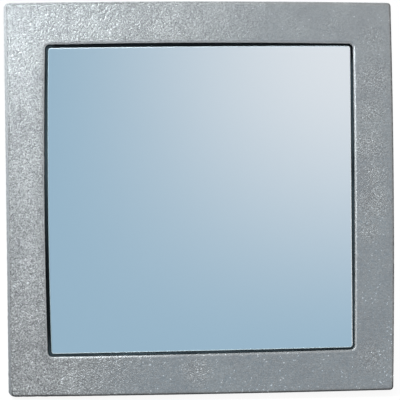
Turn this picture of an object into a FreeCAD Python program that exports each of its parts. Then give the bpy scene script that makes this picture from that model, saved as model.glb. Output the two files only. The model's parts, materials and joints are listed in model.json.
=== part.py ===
import FreeCAD
import Part
import Sketcher
import math
import os

# A square cosmetic mirror in a sand-cast frame, leaning back on a folding strut.
# All lengths are in millimetres and all angles in degrees.
# Two local frames are used. The mirror frame has its origin in the middle of the back plane of the
# casting, and the strut frame has it on the hinge pin. In both, X runs to the right, Y to the back and
# Z up the mirror, and "ahead" is the distance in front of the origin. Each body is drawn in its local
# frame and then stood up by its placement.

SIZES = (
    ("frame_width", 180.0, "outside of the casting, across its back edge"),
    ("frame_bar", 19.0, "width of one side of the frame, from the back edge to the window"),
    ("rim_wall", 6.0, "wall of the casting round the rebate for the panel"),
    ("side_draft", 3.0, "draft of the outer sides of the casting, as an angle"),
    ("outer_corner", 2.2, "corner radius of the casting at its back edge"),
    ("window_corner", 1.9, "corner radius of the window"),
    ("rebate_corner", 3.0, "corner radius of the rebate"),
    ("face_round", 0.8, "rounding of the outer edge of the front face"),
    ("window_round", 0.45, "rounding of the window edge"),
    ("rim_edge", 0.6, "broken edge of the rim"),
    ("stand_flat", 3.0, "width of the flat ground on the lower back edge, which stands on the table"),
    ("mirror_gap", 1.1, "gap between the glass and the window"),
    ("mirror_thickness", 3.0, "thickness of the glass"),
    ("mirror_recess", 0.8, "how far the glass lies behind the front face"),
    ("mirror_corner", 1.3, "corner radius of the glass"),
    ("mirror_arris", 0.4, "ground arris round the front of the glass"),
    ("strip_sink", 0.7, "how far the packing strip lies behind the face of the glass"),
    ("strip_clearance", 0.05, "play of the packing strip against the glass and against the window"),
    ("tape_thickness", 1.0, "thickness of the mounting tape"),
    ("tape_width", 20.0, "width of one strip of tape"),
    ("tape_inset", 12.0, "distance of the tape from the edge of the glass"),
    ("panel_thickness", 3.0, "thickness of the backing panel"),
    ("panel_clearance", 0.3, "play of the panel in the rebate"),
    ("velour_thickness", 0.6, "thickness of the velour on the panel"),
    ("velour_margin", 0.6, "distance of the velour from the edge of the panel"),
    ("screw_shank", 2.9, "diameter of the panel screws"),
    ("screw_head", 5.6, "diameter of the screw heads"),
    ("screw_head_height", 1.8, "height of the screw heads"),
    ("screw_crown", 3.4, "diameter of the flat on top of a screw head"),
    ("screw_edge", 0.9, "height of the edge of a screw head"),
    ("screw_bite", 3.0, "depth to which the screws enter the casting"),
    ("hole_clearance", 0.1, "play round a screw or a rivet in its hole, on the radius"),
    ("hinge_drop", 40.0, "distance of the hinge pin below the top of the casting"),
    ("pin_diameter", 2.4, "diameter of the hinge pin"),
    ("pin_proud", 0.5, "how far the pin stands out of the knuckles at each end"),
    ("running_clearance", 0.05, "play of the knuckles on the pin, on the radius"),
    ("leaf_thickness", 1.0, "sheet thickness of the hinge leaves"),
    ("leaf_corner", 3.0, "corner radius of the hinge leaves"),
    ("centre_knuckle", 12.0, "length of the knuckle of the moving leaf"),
    ("side_knuckle", 8.0, "length of each knuckle of the fixed leaf"),
    ("knuckle_gap", 0.3, "end play between knuckles"),
    ("knuckle_relief", 0.4, "room round a knuckle in the sheet of the other leaf"),
    ("ear_gap", 1.2, "distance of the stop ears from the ends of the pin"),
    ("ear_width", 4.0, "width of each stop ear"),
    ("stop_gap", 0.05, "what is left between the stop ears and the fixed leaf when the strut is open"),
    ("fixed_leaf_height", 18.0, "height of the fixed leaf above the pin"),
    ("moving_leaf_height", 24.0, "height of the moving leaf below the pin"),
    ("rivet_shank", 2.5, "diameter of the hinge rivets"),
    ("rivet_head", 5.0, "diameter of the rivet heads"),
    ("rivet_head_height", 0.8, "height of the rivet heads"),
    ("rivet_crown", 3.0, "diameter of the flat on top of a rivet head"),
    ("clinch_diameter", 4.4, "diameter of the clinched end of a rivet"),
    ("clinch_height", 0.6, "height of the clinched end of a rivet"),
    ("rivet_pitch", 22.0, "distance between the two rivets of a leaf"),
    ("fixed_rivet_edge", 6.5, "distance of the rivets of the fixed leaf from its upper edge"),
    ("moving_rivet_edge", 10.0, "distance of the rivets of the moving leaf from its lower edge"),
    ("strut_velour_thickness", 0.5, "thickness of the velour on the strut"),
    ("strut_velour_margin", 0.5, "distance of that velour from the edge of the strut"),
    ("fold_clearance", 0.4, "room between the folded strut and the panel"),
    ("back_clearance", 0.3, "room between the folded hinge and the back plane of the casting"),
    ("strut_top", 44.0, "width of the strut at the hinge"),
    ("strut_bottom", 60.0, "width of the strut at the foot"),
    ("strut_top_gap", 3.2, "distance of the end of the strut below the pin"),
    ("strut_corner", 4.0, "corner radius at the top of the strut"),
    ("strut_foot_height", 2.0, "height of the rubber strip under the strut"),
    ("finger_room", 6.0, "room at each side of the folded strut in the lower rim"),
    ("lean_angle", 17.0, "how far the mirror leans back from upright"),
    ("open_angle", 26.0, "angle between the mirror and the opened strut"),
)

os.makedirs("parts", exist_ok=True)
doc = FreeCAD.newDocument("cosmetic_mirror")
sheet = doc.addObject("Spreadsheet::Sheet", "Sheet")
for row, (alias, size, meaning) in enumerate(SIZES, 1):
    sheet.set(f"A{row}", alias)
    sheet.set(f"B{row}", str(size))
    sheet.set(f"C{row}", meaning)
    sheet.setAlias(f"B{row}", alias)
doc.recompute()

# The hinge sets how deep the hollow behind the panel is, and the layers in front of it follow.
BORE_RADIUS = "(Sheet.pin_diameter / 2 + Sheet.running_clearance)"
KNUCKLE_RADIUS = f"({BORE_RADIUS} + Sheet.leaf_thickness)"
KNUCKLE_ROOM = f"({KNUCKLE_RADIUS} + Sheet.knuckle_relief)"
VELOUR_BACK = f"(2 * {KNUCKLE_RADIUS} + Sheet.rivet_head_height + Sheet.back_clearance)"
PANEL_BACK = f"({VELOUR_BACK} + Sheet.velour_thickness)"
PANEL_FRONT = f"({PANEL_BACK} + Sheet.panel_thickness)"
GLASS_BACK = f"({PANEL_FRONT} + Sheet.tape_thickness)"
GLASS_FACE = f"({GLASS_BACK} + Sheet.mirror_thickness)"
FRAME_FACE = f"({GLASS_FACE} + Sheet.mirror_recess)"

# The squares, from the outside to the inside, and the screws in the corners between two of them.
WINDOW_SIDE = "(Sheet.frame_width - 2 * Sheet.frame_bar)"
GLASS_SIDE = f"({WINDOW_SIDE} - 2 * Sheet.mirror_gap)"
REBATE_SIDE = "(Sheet.frame_width - 2 * Sheet.rim_wall)"
PANEL_SIDE = f"({REBATE_SIDE} - 2 * Sheet.panel_clearance)"
PANEL_CORNER = "(Sheet.rebate_corner - Sheet.panel_clearance)"
VELOUR_SIDE = f"({PANEL_SIDE} - 2 * Sheet.velour_margin)"
VELOUR_CORNER = f"({PANEL_CORNER} - Sheet.velour_margin)"
SCREW_OUT = f"(({WINDOW_SIDE} + {REBATE_SIDE}) / 4)"

# The hinge, seen from the pin.
HINGE_Z = "(Sheet.frame_width / 2 - Sheet.hinge_drop)"
PIN_AHEAD = f"({VELOUR_BACK} - {KNUCKLE_RADIUS})"
RIVET_X = "(Sheet.rivet_pitch / 2)"
CENTRE_END = "(Sheet.centre_knuckle / 2)"
SIDE_START = f"({CENTRE_END} + Sheet.knuckle_gap)"
SIDE_END = f"({SIDE_START} + Sheet.side_knuckle)"
PIN_END = f"({SIDE_END} + Sheet.pin_proud)"
EAR_START = f"({PIN_END} + Sheet.ear_gap)"
EAR_END = f"({EAR_START} + Sheet.ear_width)"
EAR_TOP = (
    f"(({BORE_RADIUS} * (1 + cos(Sheet.open_angle)) - Sheet.stop_gap) / sin(Sheet.open_angle))"
)

# How the mirror stands: the ground flat lies on the table, and the strut reaches down to it.
SLOPE = "(Sheet.open_angle - Sheet.lean_angle)"
FLAT_RISE = (
    "(Sheet.stand_flat * (sin(Sheet.lean_angle) + cos(Sheet.lean_angle) * tan(Sheet.side_draft)))"
)
LIFT = f"((Sheet.frame_width / 2 - {FLAT_RISE}) * cos(Sheet.lean_angle))"
PIN_HEIGHT = (
    f"({LIFT} + {HINGE_Z} * cos(Sheet.lean_angle) + {PIN_AHEAD} * sin(Sheet.lean_angle))"
)
STRUT_LENGTH = f"({PIN_HEIGHT} / cos({SLOPE}))"
BOARD_END = f"({STRUT_LENGTH} - Sheet.strut_foot_height)"
BOARD_BACK = f"({BORE_RADIUS} - Sheet.strut_velour_thickness)"
BOARD_THICKNESS = f"({KNUCKLE_RADIUS} + {BOARD_BACK} - Sheet.fold_clearance)"
FRONT_REACH = (
    f"({FRAME_FACE} * cos(Sheet.lean_angle)"
    f" + (Sheet.frame_width / 2 - {FRAME_FACE} * tan(Sheet.side_draft)) * sin(Sheet.lean_angle))"
)
PIN_REACH = f"({HINGE_Z} * sin(Sheet.lean_angle) - {PIN_AHEAD} * cos(Sheet.lean_angle))"
BACK_REACH = f"({PIN_REACH} + {STRUT_LENGTH} * sin({SLOPE}) + {BORE_RADIUS} / cos({SLOPE}))"
SHIFT = f"(({FRONT_REACH} - {BACK_REACH}) / 2)"

MIRROR_PLACE = (
    f"placement(vector(0; {SHIFT}; {LIFT}); rotation(vector(1; 0; 0); -Sheet.lean_angle))"
)
STRUT_PLACE = (
    f"placement(vector(0; {SHIFT} + {PIN_REACH}; {PIN_HEIGHT}); rotation(vector(1; 0; 0); {SLOPE}))"
)

MARGIN = "1"
NEAR = 0.01


def number(expression):
    """The present value of an expression over the sheet."""
    return float(sheet.evalExpression(expression))


def body_named(name):
    """A new body whose label is the name of its file."""
    body = doc.addObject("PartDesign::Body", name)
    body.Label = name
    return body


def origin_part(body, role):
    """The plane or axis of a body's own origin that has this role."""
    return next(part for part in body.Origin.OriginFeatures if part.Role == role)


def sketch_on(body, name, role, offset):
    """A sketch on a plane of the body, moved by three expressions along its own directions."""
    sketch = body.newObject("Sketcher::SketchObject", name)
    sketch.AttachmentSupport = [(origin_part(body, role), "")]
    sketch.MapMode = "FlatFace"
    for direction, distance in zip("xyz", offset):
        sketch.setExpression(f"AttachmentOffset.Base.{direction}", distance)
    return sketch


def drive(sketch, kind, *where, by):
    """A dimension of a sketch, driven by an expression."""
    index = sketch.addConstraint(Sketcher.Constraint(kind, *where, number(by)))
    sketch.setExpression(f"Constraints[{index}]", by)


def rounded_square(sketch, side, corner):
    """A square with rounded corners round the origin of the sketch."""
    half = number(side) / 2
    radius = number(corner)
    straight = half - radius
    ends = ((-straight, -half), (straight, -half), (half, -straight), (half, straight))
    ends += ((straight, half), (-straight, half), (-half, straight), (-half, -straight))
    points = [FreeCAD.Vector(x, y, 0) for x, y in ends]
    centres = ((straight, -straight), (straight, straight), (-straight, straight), (-straight, -straight))
    lines = []
    arcs = []
    for turn in range(4):
        line = Part.LineSegment(points[2 * turn], points[2 * turn + 1])
        lines.append(sketch.addGeometry(line))
    for turn, (x, y) in enumerate(centres):
        circle = Part.Circle(FreeCAD.Vector(x, y, 0), FreeCAD.Vector(0, 0, 1), radius)
        start = (turn - 1) * math.pi / 2
        arcs.append(sketch.addGeometry(Part.ArcOfCircle(circle, start, start + math.pi / 2)))
    for turn in range(4):
        following = lines[(turn + 1) % 4]
        sketch.addConstraint(Sketcher.Constraint("Tangent", lines[turn], 2, arcs[turn], 1))
        sketch.addConstraint(Sketcher.Constraint("Tangent", arcs[turn], 2, following, 1))
    for arc in arcs[1:]:
        sketch.addConstraint(Sketcher.Constraint("Equal", arcs[0], arc))
    sketch.addConstraint(Sketcher.Constraint("Symmetric", lines[0], 1, lines[0], 2, -2))
    sketch.addConstraint(Sketcher.Constraint("Symmetric", lines[1], 1, lines[1], 2, -1))
    sketch.addConstraint(Sketcher.Constraint("Horizontal", lines[2]))
    sketch.addConstraint(Sketcher.Constraint("Vertical", lines[3]))
    drive(sketch, "DistanceX", lines[3], 1, lines[1], 1, by=side)
    drive(sketch, "DistanceY", lines[0], 1, lines[2], 1, by=side)
    drive(sketch, "Radius", arcs[0], by=corner)


def polygon(sketch, corners):
    """A closed outline whose corners are pairs of expressions."""
    points = [FreeCAD.Vector(number(x), number(y), 0) for x, y in corners]
    following = points[1:] + points[:1]
    lines = [sketch.addGeometry(Part.LineSegment(a, b)) for a, b in zip(points, following)]
    for line, after in zip(lines, lines[1:] + lines[:1]):
        sketch.addConstraint(Sketcher.Constraint("Coincident", line, 2, after, 1))
    for line, (x, y) in zip(lines, corners):
        drive(sketch, "DistanceX", -1, 1, line, 1, by=x)
        drive(sketch, "DistanceY", -1, 1, line, 1, by=y)


def circles(sketch, centres, radius):
    """Circles of one radius round pairs of expressions."""
    for x, y in centres:
        middle = FreeCAD.Vector(number(x), number(y), 0)
        circle = sketch.addGeometry(Part.Circle(middle, FreeCAD.Vector(0, 0, 1), number(radius)))
        drive(sketch, "DistanceX", -1, 1, circle, 3, by=x)
        drive(sketch, "DistanceY", -1, 1, circle, 3, by=y)
        drive(sketch, "Radius", circle, by=radius)


def pad(body, profile, length, both_ways=False):
    """Material along the normal of a sketch, or half of it to each side."""
    feature = body.newObject("PartDesign::Pad", profile.Name + "_pad")
    feature.Profile = profile
    feature.SideType = "Symmetric" if both_ways else "One side"
    feature.setExpression("Length", length)
    doc.recompute()
    return feature


def pocket(body, profile, length, both_ways=False):
    """A cut along the normal of a sketch, or half of it to each side. It has to remove material."""
    before = body.Shape.Volume
    feature = body.newObject("PartDesign::Pocket", profile.Name + "_cut")
    feature.Profile = profile
    feature.SideType = "Symmetric" if both_ways else "One side"
    feature.Reversed = not both_ways
    feature.setExpression("Length", length)
    doc.recompute()
    if not feature.Shape.Volume < before:
        raise RuntimeError(f"{feature.Name} cuts nothing")
    return feature


def edges_where(feature, holds):
    """The names of the edges whose ends and middle all meet a condition."""
    names = []
    for index, edge in enumerate(feature.Shape.Edges, 1):
        middle = edge.valueAt((edge.FirstParameter + edge.LastParameter) / 2)
        places = [vertex.Point for vertex in edge.Vertexes] + [middle]
        if all(holds(place) for place in places):
            names.append(f"Edge{index}")
    return names


def soften(body, kind, name, feature, holds, size):
    """A fillet or a chamfer along the edges that meet a condition."""
    edges = edges_where(feature, holds)
    if not edges:
        raise RuntimeError(f"{name} finds no edge")
    soft = body.newObject(f"PartDesign::{kind}", name)
    soft.Base = (feature, edges)
    soft.setExpression("Radius" if kind == "Fillet" else "Size", size)
    doc.recompute()
    return soft


def reach(place):
    """How far a point lies from the middle of the square."""
    return max(abs(place.x), abs(place.z))


def lies_ahead(place, ahead):
    """Whether a point of the mirror frame lies this far in front of the back plane."""
    return abs(place.y + number(ahead)) < NEAR


def turned(body, name, outline, offset):
    """A solid turned about a line along Y, from corners (radius, distance to the back)."""
    sketch = sketch_on(body, name, "XY_Plane", offset)
    polygon(sketch, outline)
    feature = body.newObject("PartDesign::Revolution", name + "_turned")
    feature.Profile = sketch
    feature.ReferenceAxis = (sketch, ["V_Axis"])
    feature.Angle = 360
    doc.recompute()
    return feature


def repeat_round(body, features, count):
    """Features repeated evenly round the middle of the mirror."""
    ring = body.newObject("PartDesign::PolarPattern", features[0].Name + "_ring")
    ring.Originals = features
    ring.Axis = (origin_part(body, "Y_Axis"), [""])
    ring.Angle = 360
    ring.Occurrences = count
    body.Tip = ring
    doc.recompute()


def repeat_mirrored(body, features):
    """Features repeated on the other side of the middle plane."""
    twin = body.newObject("PartDesign::Mirrored", features[0].Name + "_twin")
    twin.Originals = features
    twin.MirrorPlane = (origin_part(body, "YZ_Plane"), [""])
    body.Tip = twin
    doc.recompute()


def screw_holes(body, ahead, radius, length):
    """The screw holes in the four corners, cut forward from a level."""
    sketch = sketch_on(body, body.Name + "_screw_holes", "XZ_Plane", ("0", "0", ahead))
    circles(sketch, ((SCREW_OUT, SCREW_OUT),), radius)
    repeat_round(body, [pocket(body, sketch, length)], 4)


def rivet_holes(body, ahead, height, radius, length):
    """A pair of rivet holes, cut forward from a level."""
    sketch = sketch_on(body, body.Name + "_rivet_holes", "XZ_Plane", ("0", "0", ahead))
    circles(sketch, ((f"-{RIVET_X}", height), (RIVET_X, height)), radius)
    return pocket(body, sketch, length)


def rivet_outline(grip):
    """A rivet from its domed head to its clinched end, for layers of this thickness."""
    head = "Sheet.rivet_head / 2"
    shank = "Sheet.rivet_shank / 2"
    clinch = "Sheet.clinch_diameter / 2"
    return (
        ("0", "Sheet.rivet_head_height"),
        ("Sheet.rivet_crown / 2", "Sheet.rivet_head_height"),
        (head, "0"),
        (shank, "0"),
        (shank, f"-{grip}"),
        (clinch, f"-{grip}"),
        (clinch, f"-{grip} - Sheet.clinch_height"),
        ("0", f"-{grip} - Sheet.clinch_height"),
    )


# The casting: a drafted square block, hollowed from the back and opened by the window.
frame = body_named("cast_frame")
outline = sketch_on(frame, "frame_outline", "XZ_Plane", ("0", "0", "0"))
rounded_square(outline, "Sheet.frame_width", "Sheet.outer_corner")
block = frame.newObject("PartDesign::Pad", "frame_block")
block.Profile = outline
block.setExpression("Length", FRAME_FACE)
block.setExpression("TaperAngle", "-Sheet.side_draft")
doc.recompute()

rebate = sketch_on(frame, "rebate_outline", "XZ_Plane", ("0", "0", "0"))
rounded_square(rebate, REBATE_SIDE, "Sheet.rebate_corner")
pocket(frame, rebate, PANEL_FRONT)

window = sketch_on(frame, "window_outline", "XZ_Plane", ("0", "0", "0"))
rounded_square(window, WINDOW_SIDE, "Sheet.window_corner")
opened = pocket(frame, window, f"{FRAME_FACE} + {MARGIN}")

window_reach = number(WINDOW_SIDE) / 2 + NEAR
softened = soften(
    frame, "Fillet", "face_edge", opened,
    lambda place: lies_ahead(place, FRAME_FACE) and reach(place) > window_reach,
    "Sheet.face_round",
)
softened = soften(
    frame, "Fillet", "window_edge", softened,
    lambda place: lies_ahead(place, FRAME_FACE) and reach(place) < window_reach,
    "Sheet.window_round",
)
softened = soften(
    frame, "Chamfer", "rim_edges", softened,
    lambda place: lies_ahead(place, "0"),
    "Sheet.rim_edge",
)

# The lower rim is cut away where the folded strut lies, with room for a finger at each side of it.
notch_half = "(Sheet.strut_bottom / 2 + Sheet.finger_room)"
notch_low = f"(-Sheet.frame_width / 2 - {MARGIN})"
notch_high = f"(-{REBATE_SIDE} / 2 + Sheet.rim_edge + {MARGIN})"
notch = sketch_on(frame, "strut_notch", "XZ_Plane", ("0", "0", f"-{MARGIN}"))
polygon(
    notch,
    (
        (f"-{notch_half}", notch_low),
        (notch_half, notch_low),
        (notch_half, notch_high),
        (f"-{notch_half}", notch_high),
    ),
)
pocket(frame, notch, f"{VELOUR_BACK} + Sheet.fold_clearance + {MARGIN}")

# The lower back edge is ground flat at the lean of the mirror.
flat_level = f"(-Sheet.frame_width / 2 + {FLAT_RISE})"
flat_front = "(2 * Sheet.stand_flat)"
ground = sketch_on(frame, "ground_flat", "YZ_Plane", ("0", "0", "0"))
polygon(
    ground,
    (
        (MARGIN, f"{flat_level} + {MARGIN} * tan(Sheet.lean_angle)"),
        (f"-{flat_front}", f"{flat_level} - {flat_front} * tan(Sheet.lean_angle)"),
        (MARGIN, f"{flat_level} - {flat_front} * tan(Sheet.lean_angle)"),
    ),
)
pocket(frame, ground, "2 * Sheet.frame_width", both_ways=True)

SCREW_HOLE = "(Sheet.screw_shank / 2 + Sheet.hole_clearance)"
RIVET_HOLE = "(Sheet.rivet_shank / 2 + Sheet.hole_clearance)"
screw_holes(frame, PANEL_FRONT, SCREW_HOLE, "Sheet.screw_bite + Sheet.hole_clearance")

# The glass, with a fine ground arris round its face.
glass = body_named("mirror_plate")
glass_outline = sketch_on(glass, "glass_outline", "XZ_Plane", ("0", "0", GLASS_BACK))
rounded_square(glass_outline, GLASS_SIDE, "Sheet.mirror_corner")
plate = pad(glass, glass_outline, "Sheet.mirror_thickness")
soften(
    glass, "Chamfer", "arris", plate,
    lambda place: lies_ahead(place, GLASS_FACE),
    "Sheet.mirror_arris",
)

# The packing strip stands on the panel and fills the gap between the glass and the window.
strip = body_named("glazing_strip")
strip_outline = sketch_on(strip, "strip_outline", "XZ_Plane", ("0", "0", PANEL_FRONT))
rounded_square(
    strip_outline,
    f"({WINDOW_SIDE} - 2 * Sheet.strip_clearance)",
    "Sheet.window_corner - Sheet.strip_clearance",
)
rounded_square(
    strip_outline,
    f"({GLASS_SIDE} + 2 * Sheet.strip_clearance)",
    "Sheet.mirror_corner + Sheet.strip_clearance",
)
pad(strip, strip_outline, f"{GLASS_FACE} - Sheet.strip_sink - {PANEL_FRONT}")

# Two strips of foam tape hold the glass to the panel.
tape = body_named("tape_strips")
tape_half = f"({GLASS_SIDE} / 2 - Sheet.tape_inset)"
tape_outline = sketch_on(tape, "tape_outline", "XZ_Plane", ("0", "0", PANEL_FRONT))
polygon(
    tape_outline,
    (
        (f"{tape_half} - Sheet.tape_width", f"-{tape_half}"),
        (tape_half, f"-{tape_half}"),
        (tape_half, tape_half),
        (f"{tape_half} - Sheet.tape_width", tape_half),
    ),
)
repeat_mirrored(tape, [pad(tape, tape_outline, "Sheet.tape_thickness")])

# The panel lies on the shoulder of the casting, and its velour covers it behind.
RIVET_Z = f"({HINGE_Z} + Sheet.fixed_leaf_height - Sheet.fixed_rivet_edge)"
panel = body_named("backing_panel")
panel_outline = sketch_on(panel, "panel_outline", "XZ_Plane", ("0", "0", PANEL_BACK))
rounded_square(panel_outline, PANEL_SIDE, PANEL_CORNER)
pad(panel, panel_outline, "Sheet.panel_thickness")
rivet_holes(panel, PANEL_BACK, RIVET_Z, RIVET_HOLE, "Sheet.panel_thickness")
screw_holes(panel, PANEL_BACK, SCREW_HOLE, "Sheet.panel_thickness")

velour = body_named("back_velour")
velour_outline = sketch_on(velour, "velour_outline", "XZ_Plane", ("0", "0", VELOUR_BACK))
rounded_square(velour_outline, VELOUR_SIDE, VELOUR_CORNER)
pad(velour, velour_outline, "Sheet.velour_thickness")
rivet_holes(velour, VELOUR_BACK, RIVET_Z, RIVET_HOLE, "Sheet.velour_thickness")
screw_holes(velour, VELOUR_BACK, SCREW_HOLE, "Sheet.velour_thickness")

# Four pan-head screws go through velour and panel into the casting.
screws = body_named("panel_screws")
screw_length = "(Sheet.velour_thickness + Sheet.panel_thickness + Sheet.screw_bite)"
screw_outline = (
    ("0", "Sheet.screw_head_height"),
    ("Sheet.screw_crown / 2", "Sheet.screw_head_height"),
    ("Sheet.screw_head / 2", "Sheet.screw_edge"),
    ("Sheet.screw_head / 2", "0"),
    ("Sheet.screw_shank / 2", "0"),
    ("Sheet.screw_shank / 2", f"-{screw_length}"),
    ("0", f"-{screw_length}"),
)
first_screw = turned(screws, "screw", screw_outline, (SCREW_OUT, f"-{VELOUR_BACK}", SCREW_OUT))
repeat_round(screws, [first_screw], 4)

# The fixed leaf lies on the velour, with a knuckle at each side of the one of the moving leaf.
fixed = body_named("fixed_leaf")
fixed_top = f"({HINGE_Z} + Sheet.fixed_leaf_height)"
fixed_step = f"({HINGE_Z} + {KNUCKLE_ROOM})"
fixed_back = f"({VELOUR_BACK} - Sheet.leaf_thickness)"
fixed_outline = sketch_on(fixed, "fixed_outline", "XZ_Plane", ("0", "0", fixed_back))
polygon(
    fixed_outline,
    (
        (f"-{EAR_END}", HINGE_Z),
        (f"-{SIDE_START}", HINGE_Z),
        (f"-{SIDE_START}", fixed_step),
        (SIDE_START, fixed_step),
        (SIDE_START, HINGE_Z),
        (EAR_END, HINGE_Z),
        (EAR_END, fixed_top),
        (f"-{EAR_END}", fixed_top),
    ),
)
fixed_plate = pad(fixed, fixed_outline, "Sheet.leaf_thickness")
soften(
    fixed, "Fillet", "fixed_corners", fixed_plate,
    lambda place: abs(place.z - number(fixed_top)) < NEAR and abs(abs(place.x) - number(EAR_END)) < NEAR,
    "Sheet.leaf_corner",
)
PIN_CENTRE = ((f"-{PIN_AHEAD}", HINGE_Z),)
fixed_roll = sketch_on(fixed, "fixed_knuckle", "YZ_Plane", ("0", "0", SIDE_START))
circles(fixed_roll, PIN_CENTRE, KNUCKLE_RADIUS)
repeat_mirrored(fixed, [pad(fixed, fixed_roll, "Sheet.side_knuckle")])
fixed_bore = sketch_on(fixed, "fixed_bore", "YZ_Plane", ("0", "0", "0"))
circles(fixed_bore, PIN_CENTRE, BORE_RADIUS)
pocket(fixed, fixed_bore, f"2 * {EAR_END}", both_ways=True)
rivet_holes(fixed, fixed_back, RIVET_Z, RIVET_HOLE, "Sheet.leaf_thickness")

fixed_rivets = body_named("fixed_leaf_rivets")
fixed_grip = "(Sheet.leaf_thickness + Sheet.velour_thickness + Sheet.panel_thickness)"
first_fixed = turned(
    fixed_rivets, "fixed_rivet", rivet_outline(fixed_grip),
    (RIVET_X, f"-{fixed_back}", RIVET_Z),
)
repeat_mirrored(fixed_rivets, [first_fixed])

pin = body_named("hinge_pin")
pin_outline = sketch_on(pin, "pin_outline", "YZ_Plane", ("0", "0", "0"))
circles(pin_outline, PIN_CENTRE, "Sheet.pin_diameter / 2")
pad(pin, pin_outline, f"2 * {PIN_END}", both_ways=True)

# The moving leaf hangs on the pin. Its ears meet the fixed leaf when the strut is open.
moving = body_named("moving_leaf")
moving_outline = sketch_on(moving, "moving_outline", "XZ_Plane", ("0", "0", f"-{KNUCKLE_RADIUS}"))
moving_end = "-Sheet.moving_leaf_height"
polygon(
    moving_outline,
    (
        (f"-{EAR_END}", moving_end),
        (EAR_END, moving_end),
        (EAR_END, EAR_TOP),
        (EAR_START, EAR_TOP),
        (EAR_START, f"-{KNUCKLE_ROOM}"),
        (CENTRE_END, f"-{KNUCKLE_ROOM}"),
        (CENTRE_END, "0"),
        (f"-{CENTRE_END}", "0"),
        (f"-{CENTRE_END}", f"-{KNUCKLE_ROOM}"),
        (f"-{EAR_START}", f"-{KNUCKLE_ROOM}"),
        (f"-{EAR_START}", EAR_TOP),
        (f"-{EAR_END}", EAR_TOP),
    ),
)
moving_plate = pad(moving, moving_outline, "Sheet.leaf_thickness")
soften(
    moving, "Fillet", "moving_corners", moving_plate,
    lambda place: abs(place.z - number(moving_end)) < NEAR and abs(abs(place.x) - number(EAR_END)) < NEAR,
    "Sheet.leaf_corner",
)
ON_PIN = (("0", "0"),)
moving_roll = sketch_on(moving, "moving_knuckle", "YZ_Plane", ("0", "0", "0"))
circles(moving_roll, ON_PIN, KNUCKLE_RADIUS)
pad(moving, moving_roll, "Sheet.centre_knuckle", both_ways=True)
moving_bore = sketch_on(moving, "moving_bore", "YZ_Plane", ("0", "0", "0"))
circles(moving_bore, ON_PIN, BORE_RADIUS)
pocket(moving, moving_bore, f"2 * {EAR_END}", both_ways=True)
DROP = "(Sheet.moving_rivet_edge - Sheet.moving_leaf_height)"
rivet_holes(moving, f"-{KNUCKLE_RADIUS}", DROP, RIVET_HOLE, "Sheet.leaf_thickness")

# The strut: a tapered board with velour behind and a rubber strip under its end.


def strut_outline(sketch, inset):
    """The tapered outline of the strut, or one that lies inside it by an inset."""
    top = f"(Sheet.strut_top / 2 - {inset})"
    bottom = f"(Sheet.strut_bottom / 2 - {inset})"
    high = f"(-Sheet.strut_top_gap - {inset})"
    low = f"(-{BOARD_END} + {inset})"
    polygon(sketch, ((f"-{bottom}", low), (bottom, low), (top, high), (f"-{top}", high)))


def round_top(body, name, feature, inset):
    """The rounded corners at the top of the strut."""
    high = -number("Sheet.strut_top_gap") - number(inset)
    side = number("Sheet.strut_top") / 2 - number(inset)
    soften(
        body, "Fillet", name, feature,
        lambda place: abs(place.z - high) < NEAR and abs(abs(place.x) - side) < NEAR,
        "Sheet.strut_corner",
    )


board = body_named("strut_board")
board_outline = sketch_on(board, "board_outline", "XZ_Plane", ("0", "0", f"-{BOARD_BACK}"))
strut_outline(board_outline, "0")
round_top(board, "board_corners", pad(board, board_outline, BOARD_THICKNESS), "0")
rivet_holes(board, f"-{BOARD_BACK}", DROP, RIVET_HOLE, BOARD_THICKNESS)
sunk_depth = "(Sheet.clinch_height + Sheet.hole_clearance)"
sunk_level = f"({BOARD_THICKNESS} - {BOARD_BACK} - {sunk_depth})"
sunk = sketch_on(board, "clinch_recess", "XZ_Plane", ("0", "0", sunk_level))
circles(
    sunk,
    ((f"-{RIVET_X}", DROP), (RIVET_X, DROP)),
    "Sheet.clinch_diameter / 2 + Sheet.hole_clearance",
)
pocket(board, sunk, sunk_depth)

facing = body_named("strut_velour")
facing_outline = sketch_on(facing, "facing_outline", "XZ_Plane", ("0", "0", f"-{BORE_RADIUS}"))
strut_outline(facing_outline, "Sheet.strut_velour_margin")
facing_pad = pad(facing, facing_outline, "Sheet.strut_velour_thickness")
round_top(facing, "facing_corners", facing_pad, "Sheet.strut_velour_margin")
rivet_holes(facing, f"-{BORE_RADIUS}", DROP, RIVET_HOLE, "Sheet.strut_velour_thickness")

moving_rivets = body_named("moving_leaf_rivets")
moving_grip = f"(Sheet.leaf_thickness + Sheet.strut_velour_thickness + {BOARD_THICKNESS} - {sunk_depth})"
first_moving = turned(
    moving_rivets, "moving_rivet", rivet_outline(moving_grip),
    (RIVET_X, KNUCKLE_RADIUS, DROP),
)
repeat_mirrored(moving_rivets, [first_moving])

foot = body_named("strut_foot")
foot_front = f"({BOARD_BACK} - {BOARD_THICKNESS})"
foot_outline = sketch_on(foot, "foot_outline", "YZ_Plane", ("0", "0", "0"))
polygon(
    foot_outline,
    (
        (foot_front, f"-{BOARD_END}"),
        (foot_front, f"-{STRUT_LENGTH} - {foot_front} * tan({SLOPE})"),
        (BORE_RADIUS, f"-{STRUT_LENGTH} - {BORE_RADIUS} * tan({SLOPE})"),
        (BORE_RADIUS, f"-{BOARD_END}"),
    ),
)
pad(foot, foot_outline, "Sheet.strut_bottom", both_ways=True)

# Each body is stood up, checked and written to its own file.
STANDING = (frame, glass, strip, tape, panel, velour, screws, fixed, fixed_rivets, pin)
SWINGING = (moving, board, facing, moving_rivets, foot)
for body in STANDING:
    body.setExpression("Placement", MIRROR_PLACE)
for body in SWINGING:
    body.setExpression("Placement", STRUT_PLACE)
doc.recompute()

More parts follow.
